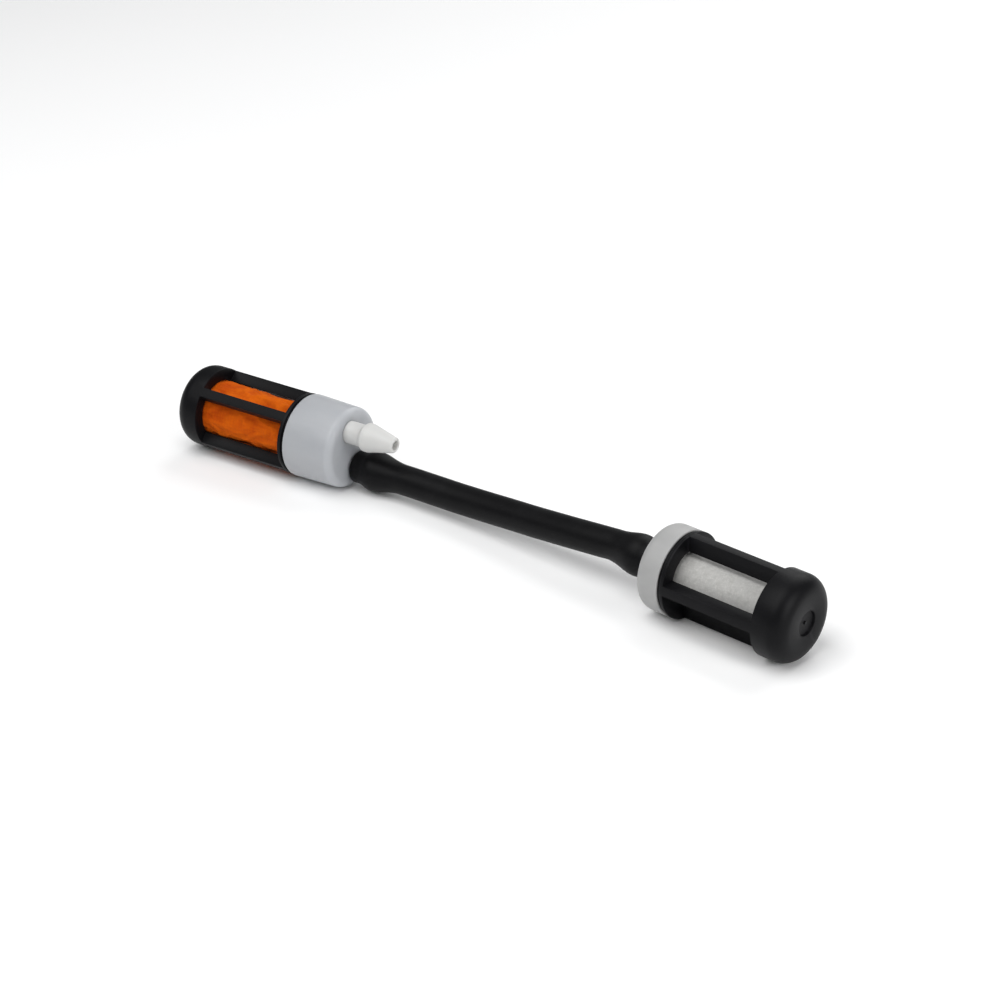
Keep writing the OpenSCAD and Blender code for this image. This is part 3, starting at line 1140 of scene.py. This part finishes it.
@dataclass
class Hose:
    """The rubber hose: straight where the barbs hold it, bent between them, made as two halves."""

    main_end: Vector
    main_way: Vector
    pickup_end: Vector
    pickup_way: Vector
    held: float = 16.6
    lead: float = 5.0
    columns: int = 56
    steps: int = 4
    bore: float = 2.5
    radius: float = 4.5
    sharp: float = 50.0
    stations: Tuple[Point3, ...] = (
        (0.5, 3.5, 4.70), (0.62, 3.5, 4.84), (0.9, 3.5, 4.94), (1.6, 3.5, 4.96), (2.5, 3.5, 4.97),
        (3.1, 3.5, 5.02), (3.6, 3.5, 5.1), (4.1, 4.0, 5.22), (4.6, 4.45, 5.4), (5.1, 4.45, 5.6),
        (5.6, 4.45, 5.79), (6.2, 4.45, 5.95), (6.8, 4.45, 6.03), (7.5, 4.38, 6.04), (8.2, 4.3, 6.0),
        (9.0, 4.12, 5.88), (9.8, 3.95, 5.71), (10.6, 3.77, 5.52), (11.4, 3.58, 5.31), (12.3, 3.36, 5.09),
        (13.2, 3.15, 4.9), (14.1, 2.95, 4.74), (15.0, 2.75, 4.62), (15.8, 2.62, 4.55), (16.6, 2.5, 4.5),
    )

    def build(self, shop: Workshop) -> None:
        """Builds and dresses both halves of the hose."""
        rings = self._rings()
        half = len(rings) // 2
        rear = self._half(rings[: half + 1], "hose_rear_half")
        front = self._half(rings[half:], "hose_front_half")
        shop.dress(rear, Dressing.HOSE, "hose")
        shop.dress(front, Dressing.HOSE, "hose")
        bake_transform(rear)
        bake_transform(front)

    def _rings(self) -> List[Tuple[Vector, Vector, float, float]]:
        """Returns each ring of the hose: its centre, direction, bore and outer radius."""
        near = self.main_end + self.main_way * self.held
        far = self.pickup_end - self.pickup_way * self.held
        route = [near - self.main_way * self.lead, near, *map(Vector, HOSE_ROUTE), far]
        route.append(far + self.pickup_way * self.lead)
        main_way, pickup_way = self.main_way, self.pickup_way
        rings = [(self.main_end + main_way * d, main_way, b, r) for d, b, r in self.stations]
        for number in range(self.steps, (len(route) - 3) * self.steps):
            first, part = divmod(number - self.steps + 1, self.steps)
            point, way = self._free_point(route[first : first + 4], part / self.steps)
            rings.append((point, way, self.bore, self.radius))
        last = reversed(self.stations)
        rings += [(self.pickup_end - pickup_way * d, pickup_way, b, r) for d, b, r in last]
        return rings

    @staticmethod
    def _free_point(run: Sequence[Vector], t: float) -> Tuple[Vector, Vector]:
        """Returns a point of the smooth curve along the route and its direction.

        Args:
            run: four points of the route in a row.
            t: 0 near the second point and 1 near the third.

        Returns:
            The point and the unit direction.
        """
        shares = ((1 - t) ** 3, 3 * t**3 - 6 * t**2 + 4, -3 * t**3 + 3 * t**2 + 3 * t + 1, t**3)
        slopes = (-((1 - t) ** 2), 3 * t**2 - 4 * t, -3 * t**2 + 2 * t + 1, t**2)
        point = sum((p * share / 6 for p, share in zip(run, shares)), Vector())
        way = sum((p * slope for p, slope in zip(run, slopes)), Vector())
        return point, way.normalized()

    def _half(self, rings: Sequence[Tuple[Vector, Vector, float, float]], name: str) -> bpy.types.Object:
        """Makes one half of the hose as a closed tube with its bore.

        Args:
            rings: the rings of this half.
            name: the object's name.

        Returns:
            The half.
        """
        bm = bmesh.new()
        outside = [self._hoop(bm, centre, way, radius) for centre, way, _, radius in rings]
        inside = [self._hoop(bm, centre, way, bore) for centre, way, bore, _ in reversed(rings)]
        loop = outside + inside
        for first, second in zip(loop, loop[1:] + loop[:1]):
            bmesh.ops.bridge_loops(bm, edges=first + second)
        bmesh.ops.recalc_face_normals(bm, faces=bm.faces[:])
        return stand(bm, name, Place(Matrix.Scale(MM, 4)), self.sharp)

    def _hoop(
        self, bm: bmesh.types.BMesh, centre: Vector, way: Vector, radius: float
    ) -> List[bmesh.types.BMEdge]:
        """Adds one ring across the hose.

        Args:
            bm: the shape to add to.
            centre: the ring's centre in millimetres.
            way: the hose's direction there.
            radius: the ring's radius.

        Returns:
            The ring's edges.
        """
        side = Vector((0, 0, 1)).cross(way).normalized()
        turn = Matrix((side, way.cross(side), way)).transposed().to_4x4()
        made = bmesh.ops.create_circle(
            bm, cap_ends=False, segments=self.columns, radius=radius,
            matrix=Matrix.Translation(centre) @ turn,
        )
        verts = set(made["verts"])
        return [e for e in {e for v in verts for e in v.link_edges} if all(v in verts for v in e.verts)]


# ---------------------------------------------------------------- studio


@dataclass(frozen=True)
class Softbox:
    """One square softbox that faces the object."""

    name: str
    at: Point3
    size: float
    watts: float
    aim: Point3 = (0.03, 0, 0)

    def hang(self) -> None:
        """Hangs the lamp."""
        data = bpy.data.lights.new(self.name, "AREA")
        data.size, data.energy = self.size, self.watts
        lamp = bpy.data.objects.new(self.name, data)
        lamp.location = self.at
        lamp.rotation_euler = (Vector(self.aim) - Vector(self.at)).to_track_quat("-Z", "Y").to_euler()
        bpy.context.scene.collection.objects.link(lamp)


@dataclass
class Studio:
    """The pale floor, the soft lights and the camera."""

    camera_at: Point3 = (0.39651, -0.52819, 0.32550)
    elevation: float = 27.7
    turn: float = 33.56
    lens: float = 90.0
    sensor: float = 36.0
    clip: Tuple[float, float] = (0.01, 20.0)
    floor_size: float = 6.0
    floor_white: float = 0.94
    room_colour: Colour = (0.97, 0.985, 1.0, 1)
    room_light: float = 0.18
    lamps: Tuple[Softbox, ...] = (
        Softbox("key_softbox", (-0.15, -0.42, 0.85), size=1.00, watts=9.6),
        Softbox("side_softbox", (0.85, -0.16, 0.34), size=0.50, watts=3.6),
        Softbox("back_softbox", (0.05, 0.75, 0.60), size=0.80, watts=4.4),
    )

    def build(self, floor_height: float) -> None:
        """Sets the floor, the lights and the camera.

        Args:
            floor_height: where the object's lowest point is.
        """
        self._floor(floor_height)
        self._world()
        for lamp in self.lamps:
            lamp.hang()
        self._camera()
        view = bpy.context.scene.view_settings
        view.view_transform = "Standard"
        view.look = "None"

    def _floor(self, height: float) -> None:
        """Lays the floor."""
        bm = bmesh.new()
        bmesh.ops.create_grid(bm, x_segments=2, y_segments=2, size=self.floor_size)
        bmesh.ops.translate(bm, verts=bm.verts[:], vec=(0, 0, height))
        mesh = bpy.data.meshes.new("studio_floor")
        bm.to_mesh(mesh)
        bm.free()
        white = self.floor_white
        mesh.materials.append(FloorPaint("floor_paint", (white, white, white, 1)).make())
        floor = bpy.data.objects.new("studio_floor", mesh)
        bpy.context.scene.collection.objects.link(floor)
        floor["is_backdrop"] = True

    def _world(self) -> None:
        """Sets the even light of a white room."""
        world = bpy.data.worlds.new("white_room")
        bpy.context.scene.world = world
        world.use_nodes = True
        shade = world.node_tree.nodes["Background"]
        shade.inputs["Color"].default_value = self.room_colour
        shade.inputs["Strength"].default_value = self.room_light

    def _camera(self) -> None:
        """Stands the camera and makes it the scene's."""
        data = bpy.data.cameras.new("studio_camera")
        data.lens, data.sensor_width = self.lens, self.sensor
        data.clip_start, data.clip_end = self.clip
        camera = bpy.data.objects.new("studio_camera", data)
        camera.location = self.camera_at
        camera.rotation_euler = (math.radians(90 - self.elevation), 0, math.radians(self.turn))
        bpy.context.scene.collection.objects.link(camera)
        bpy.context.scene.camera = camera


# ---------------------------------------------------------------- the object


def middle_of(node: str) -> Vector:
    """Returns the centre of a CAD node's box, in metres."""
    low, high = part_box(node)
    return (low + high) / 2


@dataclass
class FilterAssembly:
    """The whole object: the main filter, the hose and the pick-up."""

    shop: Workshop
    frame: Dict[str, Any]
    main_roll: float = 46.0
    pickup_roll: float = 88.0
    cap_length: float = 17.1
    ring_length: float = 7.9
    seal_from_collar: float = 2.5
    main_radius: float = 12.7
    pickup_radius: float = 12.5

    def build(self) -> None:
        """Builds every piece and dresses the nodes that stay."""
        self._dress_nodes()
        self._build_main()
        self._build_pickup()
        self._build_hose()

    def _dress_nodes(self) -> None:
        """Gives each CAD node the finish of its slot."""
        slots = {s["node"]: s["material_slot"] for s in self.frame["record"]["subparts"]}
        for name, node in self.frame["nodes"].items():
            node.data.materials.clear()
            node.data.materials.append(self.shop.wardrobe.get(Dressing(slots[name])))
            LOG.info("%s: CAD node in %s", name, slots[name])

    def _main_face(self) -> Vector:
        """Returns the centre of the main cap's end face."""
        low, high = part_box("main_cap")
        return Vector((high.x, (low.y + high.y) / 2, (low.z + high.z) / 2))

    def _pickup_way(self) -> Vector:
        """Returns the pick-up's direction, from the hose to its nose."""
        joint = next(j for j in self.frame["joints"] if j["name"] == "hose_lift")
        return Vector(joint["axis"]).cross(Vector((0, 0, 1))) * -1

    def _pickup_face(self) -> Vector:
        """Returns the centre of the pick-up cap's end face."""
        back = (self.ring_length - self.seal_from_collar) * MM
        return middle_of("pickup_seal") - self._pickup_way().normalized() * back

    def _build_main(self) -> None:
        """Builds the main filter."""
        face = Place.along(self._main_face(), Vector((1, 0, 0)))
        collar = face.moved(-self.cap_length).turned_back()
        holes = [self._across(face, n) for n in ("outlet_nipple", "transfer_nipple")]
        Cage("main_cage", "main", collar, self.main_roll).build(self.shop)
        Cap(
            "main_cap", "main", face, Dressing.CAP, self.main_radius, self.cap_length, holes
        ).build(self.shop)
        for name, (x, y) in zip(("outlet_nipple", "transfer_nipple"), holes):
            Nipple(name, "main", face.shifted(x, y)).build(self.shop)
        FilterBag("main_bag", "main", collar, self.main_roll).build(self.shop)

    @staticmethod
    def _across(face: Place, node: str) -> Point2:
        """Returns where a node's axis crosses a frame, in its millimetres."""
        local = face.matrix.inverted() @ middle_of(node)
        return (local.x, local.y)

    def _build_pickup(self) -> None:
        """Builds the pick-up."""
        face = Place.along(self._pickup_face(), self._pickup_way())
        collar = face.moved(self.ring_length)
        Cage(
            "pickup_cage", "pickup", collar, self.pickup_roll, bore=8.0, length=40.4, nose=9.3
        ).build(self.shop)
        back = face.turned_back()
        Cap(
            "pickup_cap", "pickup", back, Dressing.RING, self.pickup_radius, self.ring_length, [(0.0, 0.0)],
            chamber=5.0, end_round=2.8, taper=0.0,
        ).build(self.shop)
        Nipple("pickup_nipple", "pickup", back).build(self.shop)
        FeltSock("pickup_sock", "pickup", collar).build(self.shop)

    def _build_hose(self) -> None:
        """Builds the hose between the two caps."""
        root = middle_of("transfer_nipple")
        root.x = self._main_face().x
        way = self._pickup_way().normalized()
        Hose(root / MM, Vector((1, 0, 0)), self._pickup_face() / MM, way).build(self.shop)


def main() -> None:
    """Builds the object and its studio around the frame."""
    logging.basicConfig(level=logging.INFO, format="%(message)s")
    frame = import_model()
    cad_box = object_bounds()
    shop = Workshop(Wardrobe())
    FilterAssembly(shop, frame).build()
    Studio().build(floor_height=float(cad_box[0][2]))
    LOG.info("%d pieces made", len(shop.pieces))


if __name__ == "__main__":
    main()
